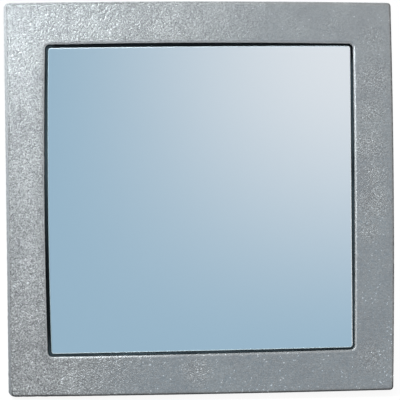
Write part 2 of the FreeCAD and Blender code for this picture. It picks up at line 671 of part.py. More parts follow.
for item in doc.Objects:
    if "Invalid" in item.State or "Error" in item.State:
        raise RuntimeError(f"{item.Name} did not recompute: {item.State}")
for body in STANDING + SWINGING:
    if body.Shape.isNull() or not body.Shape.isValid():
        raise RuntimeError(f"{body.Label} has no valid shape")
    body.Shape.exportStep(f"parts/{body.Label}.step")
    print(f"{body.Label}: {len(body.Shape.Solids)} solid, {body.Shape.Volume / 1000:.2f} cm3")

print(f"hinge pin at y {number(SHIFT + ' + ' + PIN_REACH):.4f}, z {number(PIN_HEIGHT):.4f}")
print(f"strut length {number(STRUT_LENGTH):.3f}, slope {number(SLOPE):.3f}")
print(f"frame depth {number(FRAME_FACE):.3f}")
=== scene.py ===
# %% [markdown]
# # A square cosmetic mirror in a sand-cast frame
#
# The object is a small mirror for a table: a square of silvered glass in a thick frame of sand-cast
# aluminium, standing on its lower edge and on a folding strut behind it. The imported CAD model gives
# every piece its place and its main shape. This lesson dresses it: each step says what a piece is on
# the real object, how it could be made in Blender, and why one way was chosen.

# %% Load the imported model
import json
import math

import bmesh
import bpy
import numpy as np
from mathutils import Matrix, Vector, noise


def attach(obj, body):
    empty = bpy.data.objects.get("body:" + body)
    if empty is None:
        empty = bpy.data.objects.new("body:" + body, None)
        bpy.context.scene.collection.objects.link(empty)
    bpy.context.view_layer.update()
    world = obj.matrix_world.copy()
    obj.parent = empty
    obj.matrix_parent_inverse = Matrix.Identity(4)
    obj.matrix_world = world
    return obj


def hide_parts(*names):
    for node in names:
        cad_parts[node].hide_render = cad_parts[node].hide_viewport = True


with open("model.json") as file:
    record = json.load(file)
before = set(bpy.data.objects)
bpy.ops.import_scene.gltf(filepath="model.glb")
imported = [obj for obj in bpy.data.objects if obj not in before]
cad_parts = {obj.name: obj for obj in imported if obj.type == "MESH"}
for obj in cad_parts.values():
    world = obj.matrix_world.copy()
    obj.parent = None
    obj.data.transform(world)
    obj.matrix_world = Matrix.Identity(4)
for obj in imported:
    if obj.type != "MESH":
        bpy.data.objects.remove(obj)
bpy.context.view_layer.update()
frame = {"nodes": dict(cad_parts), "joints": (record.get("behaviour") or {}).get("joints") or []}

nodes = frame["nodes"]
print("pieces in the packed model:", ", ".join(sorted(nodes)))

# %% [markdown]
# ## Two ways of looking at a place
#
# The mirror leans back, so its sides are awkward to describe in the room's directions. Everything could
# be worked out in the room with sines and cosines, but it is easier to work in millimetres on the mirror
# itself, with x to the right, y to the back and z up the mirror, and zero in the middle of the casting's
# back plane. The strut has its own such frame, with zero on the hinge pin. One matrix for each stands a
# finished mesh up in its place.

# %% The lean of the mirror and the slope of the strut
MM = 0.001
lean = math.radians(17)
strut_slope = math.radians(9)
back_middle = Vector((0, 2.8011, 85.0848)) * MM
pin_middle = Vector(frame["joints"][0]["pos_m"])
millimetres = Matrix.Scale(MM, 4)
on_mirror = Matrix.Translation(back_middle) @ Matrix.Rotation(-lean, 4, "X") @ millimetres
on_strut = Matrix.Translation(pin_middle) @ Matrix.Rotation(strut_slope, 4, "X") @ millimetres
places = {"mirror": on_mirror, "strut": on_strut}
turn = on_mirror.to_3x3().normalized()
face_ahead = 14.0
glass_ahead = 13.2
print("middle of the front face, in metres:", on_mirror @ Vector((0, -face_ahead, 0)))

# %% [markdown]
# ## The camera
#
# The photograph was taken from far away with a long lens, nearly square to the glass, from a little left
# of the middle. A camera could be dragged about until the picture fits. Here its place is described in the
# mirror's own frame instead: how far round and how far up it stands from straight ahead, and how far it is
# rolled. Then each number has a meaning, and one can be changed without the others. The shift moves the
# picture in its frame, as a view camera does, and keeps the perspective. Like everything that is to be
# seen or to see, the camera has to be put into the scene, so a helper for that comes first. Two more serve
# the card that the glass reflects as well. They find the level directions across a line of sight, and set
# a thing on that line, turned to the mirror.


# %% Put an object into the scene, and set it before the mirror
def in_scene(name, data):
    made = bpy.data.objects.new(name, data)
    bpy.context.scene.collection.objects.link(made)
    return made


def level_axes(way):
    right = Vector((0, 0, 1)).cross(way).normalized()
    return right, way.cross(right)


def set_before(thing, ahead, away, way, right, up):
    middle = on_mirror @ (Vector((0, -ahead, 0)) + away * way)
    axes = Matrix((turn @ right, turn @ up, turn @ way)).transposed()
    thing.matrix_world = Matrix.Translation(middle) @ axes.to_4x4()


# %% The camera's directions
camera_round = math.radians(-6.69)
camera_up = math.radians(1.15)
camera_roll = math.radians(-0.551)
towards_camera = Vector((
    math.sin(camera_round) * math.cos(camera_up),
    -math.cos(camera_round) * math.cos(camera_up),
    math.sin(camera_up),
))
level_right, level_up = level_axes(towards_camera)
screen_right = level_right * math.cos(camera_roll) + level_up * math.sin(camera_roll)
screen_up = level_up * math.cos(camera_roll) - level_right * math.sin(camera_roll)
print("the camera lies this way from the mirror:", towards_camera)

# %% The lens, and the camera in its place
camera_away = 1260.0
focal_pixels = 2747.0
picture_pixels = 400
middle_across, middle_down = 200.89, 198.33
lens = bpy.data.cameras.new("camera")
lens.sensor_width = 36.0
lens.lens = focal_pixels * lens.sensor_width / picture_pixels
lens.shift_x = ((picture_pixels - 1) / 2 - middle_across) / picture_pixels
lens.shift_y = (middle_down - (picture_pixels - 1) / 2) / picture_pixels
lens.clip_end = 50.0
camera = in_scene("camera", lens)
set_before(camera, face_ahead, camera_away, towards_camera, screen_right, screen_up)
bpy.context.scene.camera = camera
bpy.context.scene.view_settings.view_transform = "Standard"
print(f"lens of {lens.lens:.0f} mm, shift {lens.shift_x:.4f}, {lens.shift_y:.4f}")

# %% [markdown]
# ## Helpers for node materials
#
# Every finish below is a tree of shader nodes. Adding a node takes three steps in Blender: make it, set
# its options, and fill or link its sockets. That could be written out each time, but a finish has twenty
# nodes or more. One helper does all three steps: a socket given as a value is set, and one given as
# another socket is linked. A few shorter ones give the nodes that every finish needs, so that a finish
# reads like a recipe. A new finish starts with its place on the object, and most end in one coat: a colour,
# a roughness and some other sockets, often a bump, which is why a bump comes as an entry for them.


# %% Add a node, start a finish and show it
def add(tree, kind, sockets=None, **options):
    made = tree.nodes.new("ShaderNode" + kind)
    for option, value in options.items():
        setattr(made, option, value)
    for socket, value in (sockets or {}).items():
        if isinstance(value, bpy.types.NodeSocket):
            tree.links.new(value, made.inputs[socket])
        else:
            made.inputs[socket].default_value = value
    return made


def blank(name):
    finish = bpy.data.materials.new(name)
    finish.use_nodes = True
    tree = finish.node_tree
    tree.nodes.clear()
    return finish, tree, add(tree, "TexCoord").outputs["Object"]


def show(finish, shader):
    add(finish.node_tree, "OutputMaterial", {"Surface": shader.outputs[0]})
    print(f"finish {finish.name}: {len(finish.node_tree.nodes)} nodes")


def coat(finish, colour, rough, others=None):
    sockets = {"Base Color": colour, "Roughness": rough, **(others or {})}
    show(finish, add(finish.node_tree, "BsdfPrincipled", sockets))


# %% Short names for the nodes that are used most
def reckon(tree, operation, *values):
    return add(tree, "Math", dict(enumerate(values)), operation=operation).outputs[0]


def times(tree, one, other):
    return reckon(tree, "MULTIPLY", one, other)


def ranged(tree, value, start, end, low=0.0, high=1.0, soft=False):
    sockets = {"Value": value, "From Min": start, "From Max": end, "To Min": low, "To Max": high}
    kind = "SMOOTHSTEP" if soft else "LINEAR"
    return add(tree, "MapRange", sockets, interpolation_type=kind).outputs[0]


def mixed(tree, share, one, other):
    return add(tree, "Mix", {"Factor": share, 6: one, 7: other}, data_type="RGBA").outputs[2]


def scaled(tree, colour, share):
    return add(tree, "VectorMath", {0: colour, "Scale": share}, operation="SCALE").outputs[0]


def blended(tree, share, one, other):
    return add(tree, "MixShader", {0: share, 1: one.outputs[0], 2: other.outputs[0]})


def light_paths(tree):
    path = add(tree, "LightPath").outputs
    return path, reckon(tree, "MAXIMUM", path["Is Camera Ray"], path["Is Transmission Ray"])


def towards(tree, normal, way):
    return add(tree, "VectorMath", {0: normal, 1: way}, operation="DOT_PRODUCT").outputs["Value"]


def cloud(tree, place, scale, detail=2.0, roughness=0.5, distortion=0.0):
    sockets = {"Vector": place, "Scale": scale, "Detail": detail}
    sockets.update({"Roughness": roughness, "Distortion": distortion})
    return add(tree, "TexNoise", sockets).outputs["Fac"]


def bumped(tree, height, strength, depth, others=None):
    sockets = {"Height": height, "Strength": strength, "Distance": depth, **(others or {})}
    return {"Normal": add(tree, "Bump", sockets).outputs[0]}


# %% [markdown]
# ## Floor and room
#
# The mirror stands on a white table against white. A white floor could be lit until it is white, but then
# the metal would burn out. So rays from the camera see the floor almost as plain white, whatever the
# lamps do, and the small rest of it is lit and keeps the shadow. Reflections see something else: metal
# only looks like metal when it has light and dark to show, so for them the floor is grey in front of the
# mirror and pale behind it. The room is a soft light that is stronger from the upper left.


# %% Draw a mesh, and the white floor
def drawn_mesh(name, corners, faces, smooth=False):
    mesh = bpy.data.meshes.new(name)
    mesh.from_pydata(corners, [], faces, shade_flat=not smooth)
    return mesh


def flat_mesh(name, half_wide, half_high):
    ways = ((-1, -1), (1, -1), (1, 1), (-1, 1))
    return drawn_mesh(name, [(x * half_wide, y * half_high, 0) for x, y in ways], [(0, 1, 2, 3)])


white_share = 0.92
floor_reach = 6.0
floor_mesh = flat_mesh("floor", floor_reach, floor_reach)
floor = in_scene("floor", floor_mesh)
print("floor of", 2 * floor_reach, "metres")

# %% The floor's finish
white_table, tree, place = blank("white_table")
path, plain = light_paths(tree)
share = times(tree, plain, white_share)
lit = add(tree, "BsdfDiffuse", {"Color": (0.9, 0.9, 0.9, 1)})
glow = add(tree, "Emission", {"Color": (1, 1, 1, 1), "Strength": 1.0})
seen = blended(tree, share, lit, glow)
spot = add(tree, "SeparateXYZ", {0: place}).outputs
behind = ranged(tree, spot["Y"], -0.045, -0.02)
tint = mixed(tree, behind, (0.42, 0.43, 0.445, 1), (0.78, 0.87, 0.94, 1))
reflected = add(tree, "Emission", {"Color": tint, "Strength": 1.0})
show(white_table, blended(tree, path["Is Glossy Ray"], seen, reflected))
floor_mesh.materials.append(white_table)

# %% The room
room = bpy.data.worlds.new("room")
room.use_nodes = True
bpy.context.scene.world = room
tree = room.node_tree
tree.nodes.clear()
bright_side = Vector((-0.55, -0.55, 0.63)).normalized()
aim = towards(tree, add(tree, "TexCoord").outputs["Generated"], bright_side)
level = ranged(tree, aim, -1.0, 1.0, 0.30, 0.85)
_, plain = light_paths(tree)
soft_light = add(tree, "Background", {"Color": (0.97, 0.99, 1, 1), "Strength": level})
white = add(tree, "Background", {"Color": (1, 1, 1, 1), "Strength": 1.0})
add(tree, "OutputWorld", {"Surface": blended(tree, plain, soft_light, white).outputs[0]})
print("room:", len(tree.nodes), "nodes")

# %% [markdown]
# ## Lamps
#
# In the photograph the top left corner of the frame gleams, and the shine fades along the top and down
# the left side. One far lamp could not do that, because its light hardly weakens from one side of the
# frame to the other. So the key lamp in front and to the upper left gives the even part, and a small
# raking lamp close to the corner gives the gleam. A large soft lamp overhead lights the floor. All three
# are a little cool, as the photograph is.


# %% Key, raking and overhead lamps
def lamp(name, place, target, size, watts, colour):
    light = bpy.data.lights.new(name, "AREA")
    light.shape = "DISK"
    light.size = size
    light.energy = watts
    light.color = colour
    made = in_scene(name, light)
    made.location = place
    made.rotation_euler = (Vector(place) - Vector(target)).to_track_quat("Z", "Y").to_euler()
    print(f"{name}: {watts} W, {size * 1000:.0f} mm across")


cool = (0.86, 0.955, 1.0)
bright_corner = on_mirror @ Vector((-60, -14, 60))
lamp("key_lamp", on_mirror @ Vector((-240, -860, 300)), bright_corner, 0.22, 1.14, cool)
lamp("raking_lamp", on_mirror @ Vector((-194, -170, 177)), bright_corner, 0.08, 0.85, cool)
lamp("overhead_lamp", (-0.3, 0.2, 1.6), (0, 0, 0), 1.4, 16.0, cool)

# %% [markdown]
# ## What the glass sees
#
# A mirror has no look of its own: it shows what stands in front of it. In the photograph that is a pale
# blue that turns nearly white to the upper right. The blue could be painted on the glass, but then the
# glass would be blue from every side. A photographer would hang a large card with such a wash of colour
# where the glass looks, and so does this scene. The card is seen only in reflections, and it fades out at
# its edges, so from elsewhere the glass shows the room.

# %% The card in front of the glass
card_away = 1500.0
half_wide, half_high = 0.6, 0.40
bounced = Vector((-towards_camera.x, towards_camera.y, -towards_camera.z))
card_mesh = flat_mesh("wash_card", half_wide, half_high)
card = in_scene("wash_card", card_mesh)
set_before(card, glass_ahead, card_away, bounced, *level_axes(bounced))
for unseen_by in ("visible_camera", "visible_diffuse", "visible_transmission", "visible_shadow"):
    setattr(card, unseen_by, False)
print(f"card of {2 * half_wide:.1f} by {2 * half_high:.1f} m, {card_away / 1000:.1f} m from the glass")

# %% The wash of colour on the card
wash_blue = (0.345, 0.515, 0.653, 1)
wash_white = (0.82, 0.86, 0.91, 1)
seen_width = 0.14 * (camera_away + card_away) / camera_away
wash, tree, place = blank("blue_wash")
spot = add(tree, "SeparateXYZ", {0: place}).outputs
to_right = ranged(tree, spot["X"], -0.65 * seen_width, 0.55 * seen_width, soft=True)
to_top = ranged(tree, spot["Y"], -0.65 * seen_width, 0.55 * seen_width, soft=True)
tint = mixed(tree, times(tree, to_right, to_top), wash_blue, wash_white)
side_fade = ranged(tree, reckon(tree, "ABSOLUTE", spot["X"]), half_wide, 0.5 * half_wide, soft=True)
level_fade = ranged(tree, reckon(tree, "ABSOLUTE", spot["Y"]), half_high, 0.6 * half_high, soft=True)
fade = times(tree, side_fade, level_fade)
glow = add(tree, "Emission", {"Color": tint, "Strength": 1.0})
clear = add(tree, "BsdfTransparent")
show(wash, blended(tree, fade, clear, glow))
card_mesh.materials.append(wash)
print(f"the camera sees {seen_width * 1000:.0f} mm of the card in the glass")

# %% [markdown]
# ## From a mesh in millimetres to a piece
#
# Pieces are drawn in the mirror's or the strut's own frame. To finish one, its mesh is moved into the
# room, given its finishes, and tied to the body that it moves with. A piece that grows out of a CAD shape
# starts as a copy of that shape, taken back into its own frame, with the split corners joined again. The
# CAD object itself is never touched, because the moving model is built on it.


# %% Start from a CAD shape, and finish a piece
def copied(name, body):
    shape = bmesh.new()
    shape.from_mesh(nodes[name].data)
    bmesh.ops.transform(shape, matrix=places[body].inverted(), verts=shape.verts)
    bmesh.ops.remove_doubles(shape, verts=shape.verts, dist=0.002)
    return shape


def as_mesh(name, shape):
    mesh = bpy.data.meshes.new(name)
    shape.to_mesh(mesh)
    shape.free()
    return mesh


def finished(name, mesh, body, finishes, stands_for):
    mesh.transform(places[body])
    mesh.update()
    made = in_scene(name, mesh)
    for finish in finishes:
        mesh.materials.append(finish)
    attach(made, body)
    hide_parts(stands_for)
    print(f"{name}: {len(mesh.polygons)} faces, rides on {body}")
    return made


# %% [markdown]
# ## The casting: a skin that can carry detail
#
# The frame was poured into sand, so its face is rough and none of its edges is sharp. The CAD solid has
# few, large faces, which can't carry roughness. They could be subdivided, but long thin faces give long
# thin squares. A voxel remesh turns the solid into an even skin of squares of half a millimetre, and it
# rounds each edge a little on the way, which is just what sand does.

# %% Remesh the casting
skin_square = 0.47
solid = as_mesh("casting_solid", copied("cast_frame", "mirror"))
mould = in_scene("casting_solid", solid)
remesh = mould.modifiers.new("skin", "REMESH")
remesh.mode = "VOXEL"
remesh.voxel_size = skin_square
ready = mould.evaluated_get(bpy.context.evaluated_depsgraph_get())
casting = bpy.data.meshes.new_from_object(ready)
casting.name = "casting"
bpy.data.objects.remove(mould)
bpy.data.meshes.remove(solid)
print(f"casting skin: {len(casting.vertices)} points, {len(casting.polygons)} faces")

# %% [markdown]
# ## The casting: sides that are out of true
#
# A wooden pattern rammed into sand never gives quite straight sides. Each side here bows in or out by
# up to about a millimetre, and the left one also stands in by about as much. It could be pulled about by
# hand with a lattice, but numbers are easier to check against the photograph. Three describe a side: how
# far it stands out of true at its low end, in its middle and at its high end, with outwards as positive. A
# parabola through them bends it.

# %% How far the sides stand out of true
outer_half = 90.0
window_half = 71.0


def bent(side, along):
    low, middle, high = side
    return low * along * (along - 1) / 2 + middle * (1 - along**2) + high * along * (along + 1) / 2


def pushed(across, along, sides, low_name, high_name):
    share = along / outer_half
    return np.where(across < 0, -bent(sides[low_name], share), bent(sides[high_name], share))


outer_sides = {
    "left": (-1.26, -1.13, -0.9), "right": (-0.52, 0.5, -0.36),
    "bottom": (-0.03, 0.54, 0.28), "top": (0.6, 1.16, 0.17),
}
window_sides = {
    "left": (-0.42, 0.92, -0.7), "right": (-0.44, 0.51, 0.08),
    "bottom": (0.21, 0.32, -0.76), "top": (-0.3, 0.58, -0.67),
}
most = max(abs(value) for side in outer_sides.values() for value in side)
print(f"no outer side is out of true by more than {most} mm")


# %% Which points belong to the outer sides, and which to the window
def ramp(value, start, end):
    share = np.clip((value - start) / (end - start), 0, 1)
    return share * share * (3 - 2 * share)


def outer_share(across):
    return ramp(np.abs(across), 85.5, 88.5)


def window_share(across):
    reach = np.abs(across)
    return np.where(reach < window_half, reach / window_half, 1 - ramp(reach, 71.8, 75.5))


# %% Bend the sides of the casting
points = np.empty(len(casting.vertices) * 3)
casting.vertices.foreach_get("co", points)
points = points.reshape(-1, 3)
x, ahead, z = points[:, 0].copy(), -points[:, 1], points[:, 2].copy()
clear_of_table = np.where(z < 0, ramp(ahead, 3.2, 6.5), 1.0)
points[:, 0] += outer_share(x) * pushed(x, z, outer_sides, "left", "right")
points[:, 0] += window_share(x) * pushed(x, z, window_sides, "left", "right")
points[:, 2] += outer_share(z) * pushed(z, x, outer_sides, "bottom", "top") * clear_of_table
points[:, 2] += window_share(z) * pushed(z, x, window_sides, "bottom", "top")
casting.vertices.foreach_set("co", points.ravel())
casting.update()
print("largest move of a side, mm:", round(float(np.abs(points[:, 0] - x).max()), 2))

# %% [markdown]
# ## The casting: where the sand was coarse
#
# Grains of sand leave a fine, lumpy skin. It is coarse where the sand was rammed less hard, here the left
# side, and finer to the right, with a few coarser spots. One noise over the whole frame would be the same
# everywhere, so the grain gets a map first: a slope from the coarse side to the fine one, a list of spots,
# and a little more at the bottom than at the top. A spot is its place to the right and up, its reach and
# its strength.

# %% A map of the coarse sand
coarse_end, fine_end, coarse_slope = -55.0, 20.0, -0.42
least_grain = 0.25
low_coarse, high_coarse = 1.20, 0.80
coarse_spots = (
    (62, 79, 16, 0.42), (80, 72, 16, 0.60), (80, 55, 22, 0.75), (79, 39, 18, 0.75), (78, 24, 20, 0.75),
    (80, 10, 16, 0.70), (80, -2, 18, 0.75), (78, -16, 11, 0.65), (78, -74, 18, 0.50),
    (-3, -79, 16, 0.55), (4, 82, 12, 0.75), (22, 80, 12, 0.70), (44, 79, 14, 0.45),
)
coarse = least_grain + (1 - least_grain) * ramp(x + coarse_slope * z, fine_end, coarse_end)
for right, up, reach, strength in coarse_spots:
    near = strength * ramp(np.hypot(x - right, z - up), reach, 0.0)
    coarse = np.maximum(coarse, near)
coarse *= np.interp(z, (-80, 80), (low_coarse, high_coarse))
print(f"share of coarse grain: {coarse.min():.2f} to {coarse.max():.2f}")

# %% [markdown]
# ## The casting: the grain of the sand
#
# The grain could be left to a bump in the material, but a bump is lost at the outline and in the exported
# mesh. So each point is moved along its normal by two noises, one for lumps of about two millimetres and
# one for the grain itself, and a slow third noise makes some patches rougher than others. The lumps are
# higher on the sides, where the pattern tore the sand as it was drawn out. The flat underneath is left
# alone, since it was filed until the mirror stood well.

# %% Roughen the skin
lump_size, grain_size, patch_size = 2.0, 0.9, 15.0
lump_height, grain_height, side_lump_height = 0.016, 0.030, 0.10
normals = np.empty(len(casting.vertices) * 3)
casting.vertex_normals.foreach_get("vector", normals)
normals = normals.reshape(-1, 3)
sideways = ramp(np.abs(normals[:, 1]), 0.8, 0.4)
lump_heights = lump_height + (side_lump_height - lump_height) * sideways
shift = Vector((31.7, 5.3, 17.9))
height = np.empty(len(points))
for index, point in enumerate(points):
    here = Vector(point)
    patch = 0.85 + 0.45 * noise.noise(here / patch_size)
    lump = noise.noise(here / lump_size + shift)
    grain = noise.noise(here / grain_size - shift)
    height[index] = patch * (lump_heights[index] * lump + grain_height * grain)
filed = (z < -88.4) & (ahead < 3.3)
height[filed] = 0.0
height *= coarse
points += normals * height[:, None]
casting.vertices.foreach_set("co", points.ravel())
casting.shade_smooth()
casting.update()
print(f"grain between {height.min():.3f} and {height.max():.3f} mm")

# %% [markdown]
# ## The casting: the same map for its finish
#
# Grain that is finer than the mesh belongs to the material, and it has to fade where the modelled grain
# fades. The map could be stored on the points of the mesh, but a shader can also work it out: the same few
# numbers build it again from nodes. A Mapping node of the Texture kind turns the room's place into a place
# on the leaning face.

# %% Place on the face, and the share of coarse grain there
cast_metal, tree, place = blank("sand_cast_aluminium")
lying_back = {"Vector": place, "Location": back_middle, "Rotation": (-lean, 0, 0)}
on_face = add(tree, "Mapping", lying_back, vector_type="TEXTURE")
along = add(tree, "SeparateXYZ", {0: on_face.outputs[0]}).outputs
slanted = reckon(tree, "MULTIPLY_ADD", along["Z"], coarse_slope, along["X"])
coarse_share = ranged(tree, slanted, fine_end * MM, coarse_end * MM, least_grain, 1.0, soft=True)
flat_place = add(tree, "CombineXYZ", {"X": along["X"], "Z": along["Z"]}).outputs[0]
for right, up, reach, strength in coarse_spots:
    middle = Vector((right, 0, up)) * MM
    away = add(tree, "VectorMath", {0: flat_place, 1: middle}, operation="DISTANCE").outputs["Value"]
    near = ranged(tree, away, reach * MM, 0.0, 0.0, strength, soft=True)
    coarse_share = reckon(tree, "MAXIMUM", coarse_share, near)
by_height = ranged(tree, along["Z"], -0.08, 0.08, low_coarse, high_coarse)
coarse_share = times(tree, coarse_share, by_height)
print("nodes in the map of coarse sand:", len(tree.nodes))

# %% [markdown]
# ## The casting: metal, grit and painted glints
#
# The face is bare aluminium. It has lighter and darker patches, grit in its grain, and here and there a
# flat crystal that flashes. A noise makes the patches. A finer noise could make all of the grit too, but
# it is too soft alone, so the cells of a Voronoi texture join in: each cell has a tone of its own, as each
# grain of sand left a dent of its own. Low on the frame most cells are a little darker and a few much
# paler, with the same mean. The flashes are painted: a few cells in the lighter patches get a pale colour
# as painted glints, palest low down, where less light falls.

# %% Colour of the face
patches = cloud(tree, place, 70.0, 3.0, 0.6)
lumps = cloud(tree, place, 620.0, 2.0, 0.5)
grains = cloud(tree, place, 1350.0, 3.0, 0.6)
metal = mixed(tree, patches, (0.362, 0.357, 0.362, 1), (0.488, 0.490, 0.478, 1))
grit = ranged(tree, grains, 0.32, 0.68, -0.26, 0.26)
dents = add(tree, "TexVoronoi", {"Vector": place, "Scale": 2100.0})
lot = add(tree, "SeparateColor", {0: dents.outputs["Color"]}).outputs
low_down = ranged(tree, along["Z"], 0.0, -0.06)
few_pale = reckon(tree, "MULTIPLY_ADD", lot[0], lot[0], 1 / 6)
tone_change = reckon(tree, "SUBTRACT", few_pale, lot[0])
tone_share = reckon(tree, "MULTIPLY_ADD", tone_change, low_down, lot[0])
speck = ranged(tree, tone_share, -0.5, 1.5, -0.72, 0.72)
level = reckon(tree, "MULTIPLY_ADD", reckon(tree, "ADD", grit, speck), coarse_share, 1.0)
gritty = scaled(tree, metal, level)
fewest = ranged(tree, coarse_share, 0.0, 1.0, 1.0, ranged(tree, low_down, 0.0, 1.0, 0.93, 0.91))
crowded = ranged(tree, patches, 0.42, 0.62, 1.0, fewest)
chosen = reckon(tree, "GREATER_THAN", lot[1], crowded)
# Painted glints: pale cells, palest low down, where less light falls.
painted_glint = mixed(tree, low_down, (0.64, 0.645, 0.645, 1), (0.86, 0.865, 0.87, 1))
with_painted_glints = mixed(tree, chosen, gritty, painted_glint)
print("nodes up to the metal of the face:", len(tree.nodes))

# %% [markdown]
# ## The casting: borders that catch less light
#
# In the photograph the left side and the left part of the top are darker along their borders than in their
# middle, as if they were a little crowned. So is the frame near the window, on the left and below it. The
# crown could be modelled, but it would be lower than the grain is high, so the borders are darkened
# instead. The raking lamp calls for two more dark places: the corner next to it, and the rounded edges
# there, which would glare where they begin to turn away.

# %% Which way the surface turns, and where the borders lie
normal = add(tree, "NewGeometry").outputs["Normal"]
facing = towards(tree, normal, turn @ Vector((0, -1, 0)))
to_side = reckon(tree, "ABSOLUTE", along["X"])
to_end = reckon(tree, "ABSOLUTE", along["Z"])
reach_out = reckon(tree, "MAXIMUM", to_side, to_end)
window_border, half_way, rim = 0.0725, 0.0785, 0.0885
to_left = ranged(tree, along["X"], -0.010, -0.035)
at_left = ranged(tree, along["X"], -half_way, -rim, soft=True)
at_top = times(tree, to_left, ranged(tree, along["Z"], 0.080, 0.090, soft=True))
lower_left = times(tree, to_left, ranged(tree, along["Z"], 0.072, 0.066))
by_window = times(tree, lower_left, ranged(tree, reach_out, half_way, window_border))
in_corner = ranged(tree, along["X"], -0.060, -0.076)
in_corner = times(tree, in_corner, ranged(tree, along["Z"], 0.060, 0.076))
print("nodes up to the borders:", len(tree.nodes))

# %% Where the rounded edges would glare
begun = ranged(tree, facing, 0.9995, 0.988)
begun = times(tree, begun, ranged(tree, facing, 0.90, 0.97))
left_turn = ranged(tree, along["X"], -0.0860, -0.0868)
left_turn = times(tree, left_turn, ranged(tree, along["Z"], 0.005, 0.035))
top_turn = times(tree, to_left, ranged(tree, along["Z"], 0.0880, 0.0888))
glaring = times(tree, begun, reckon(tree, "MAXIMUM", left_turn, top_turn))
print("nodes up to the glare:", len(tree.nodes))

# %% Darken the borders
left_dark = ranged(tree, along["Z"], 0.02, 0.06, 0.15, 0.05)
shade = times(tree, at_left, left_dark)
for where, dark in ((at_top, 0.06), (by_window, 0.11), (in_corner, 0.07), (glaring, 0.40)):
    shade = reckon(tree, "MULTIPLY_ADD", where, dark, shade)
face_tone = scaled(tree, with_painted_glints, reckon(tree, "SUBTRACT", 1.0, shade))
print("nodes up to the colour of the face:", len(tree.nodes))

# %% [markdown]
# ## The casting: its edges
#
# Painted shade darkens the rounded outer edges where they turn away from the light, most of all the one
# that stands on the table. On the left and the right the painted shade comes in spots, and the left has the
# least of it. The window's rounded edge gets a painted highlight, except on the ledge below, which gets
# painted shade, less on its left part. Edges could be painted by hand on the points. Here the normal tells
# how far a point has turned away from the face, and its place tells which edge it is on, so nothing is
# painted on the points.

# %% Which edge is it?
off_face = ranged(tree, facing, 0.995, 0.92)
still_front = ranged(tree, facing, 0.45, 0.80)
rounded = times(tree, still_front, off_face)
outside = ranged(tree, reach_out, 0.076, 0.082)
on_rim = times(tree, rounded, outside)
at_window = reckon(tree, "SUBTRACT", rounded, on_rim)
print("nodes up to the edges:", len(tree.nodes))

# %% Painted shade outside, painted highlight at the window
# Painted shade on the outer rounded edges, strongest on the edge that stands on the table.
left_edge = ranged(tree, along["Z"], 0.010, 0.060, 0.10, 0.22)
side_rim_shade = ranged(tree, along["X"], -0.088, -0.080, left_edge, 0.40)
spotted_rim_shade = times(tree, side_rim_shade, ranged(tree, lumps, 0.40, 0.60, 0.3, 1.7))
low_rim_shade = ranged(tree, along["Z"], -0.084, -0.088, spotted_rim_shade, 0.88)
rim_shade = ranged(tree, along["Z"], 0.084, 0.088, low_rim_shade, 0.45)
darkened = mixed(tree, times(tree, on_rim, rim_shade), face_tone, (0.05, 0.052, 0.055, 1))
# Painted highlight on the window's rounded edge, and painted shade on the ledge below, less on its left
# part.
sloping_up = ranged(tree, towards(tree, normal, turn @ Vector((0, 0, 1))), 0.05, 0.30)
ledge = mixed(tree, to_left, (0.16, 0.165, 0.17, 1), (0.50, 0.505, 0.51, 1))
window_edge_share = ranged(tree, towards(tree, normal, (-1, 0, 0)), 0.05, 0.30, 0.6, 0.28)
window_edge_light_and_shade = mixed(tree, sloping_up, (0.86, 0.87, 0.88, 1), ledge)
front_tone = mixed(tree, times(tree, at_window, window_edge_share), darkened, window_edge_light_and_shade)
print("nodes up to the edge tones:", len(tree.nodes))

# %% [markdown]
# ## The casting: sides and back
#
# The sides keep their casting skin, with painted shade: the skin grows darker towards the bottom. When the
# pattern was drawn from the sand, it dragged grains along, so this skin is streaked in that direction. A
# second mapping, which squeezes the depth of the frame, stretches a noise into such streaks. The back is
# plain and rough, and takes the patches and the grit of the face in a darker tone.

# %% Sides and back
# Painted shade: the side skin grows darker towards the bottom.
painted_side_light = ranged(tree, along["Z"], -0.08, 0.08)
skin = mixed(tree, painted_side_light, (0.20, 0.202, 0.208, 1), (0.41, 0.412, 0.418, 1))
drawn = add(tree, "Mapping", {**lying_back, "Scale": (1, 2.6, 1)}, vector_type="TEXTURE")
streaks = ranged(tree, cloud(tree, drawn.outputs[0], 1000.0, 3.0, 0.6), 0.32, 0.68, 0.70, 1.30)
past_side = ranged(tree, facing, 0.15, 0.45)
sided = mixed(tree, past_side, scaled(tree, skin, streaks), front_tone)
plain_back = mixed(tree, patches, (0.17, 0.172, 0.176, 1), (0.34, 0.344, 0.35, 1))
not_back = ranged(tree, facing, -0.6, -0.2)
colour = mixed(tree, not_back, scaled(tree, plain_back, level), sided)
print("nodes up to the whole colour:", len(tree.nodes))

# %% [markdown]
# ## The casting: shine and fine grain
#
# Brushing has made the face smoother than the rest, so the roughness grows where the surface turns away
# from the front, and it varies a little with the lumps. Two bumps carry the grain that the mesh is too
# coarse for. The face is metal all through. The sides are mixed with a duller, stone-like layer, as a
# casting skin is.

# %% Shine and bump
dull = ranged(tree, facing, 0.70, 0.97, 0.40, 0.0)
rough = reckon(tree, "ADD", ranged(tree, lumps, 0.3, 0.7, 0.28, 0.40), dull)
lumpy = bumped(tree, lumps, 0.3, 0.0002)
grainy = bumped(tree, grains, coarse_share, 0.00036, lumpy)
metallic = ranged(tree, past_side, 0.0, 1.0, 0.3, 1.0)
coat(cast_metal, colour, rough, {
    "Metallic": metallic, "Specular Tint": (0.45, 0.45, 0.46, 1), **grainy,
})
finished("casting", casting, "mirror", [cast_metal], "cast_frame")

# %% [markdown]
# ## The glass
#
# The plate is silvered on its back, cut by hand to the casting's window and ground at its edges. A box with
# a bevel could stand for it, but this plate isn't quite square. Its outline is a rounded square, bent like
# the window but not just so, which makes the gap round it uneven. Four such outlines, one in front of the
# other, make the back, the edge, the arris and the face.


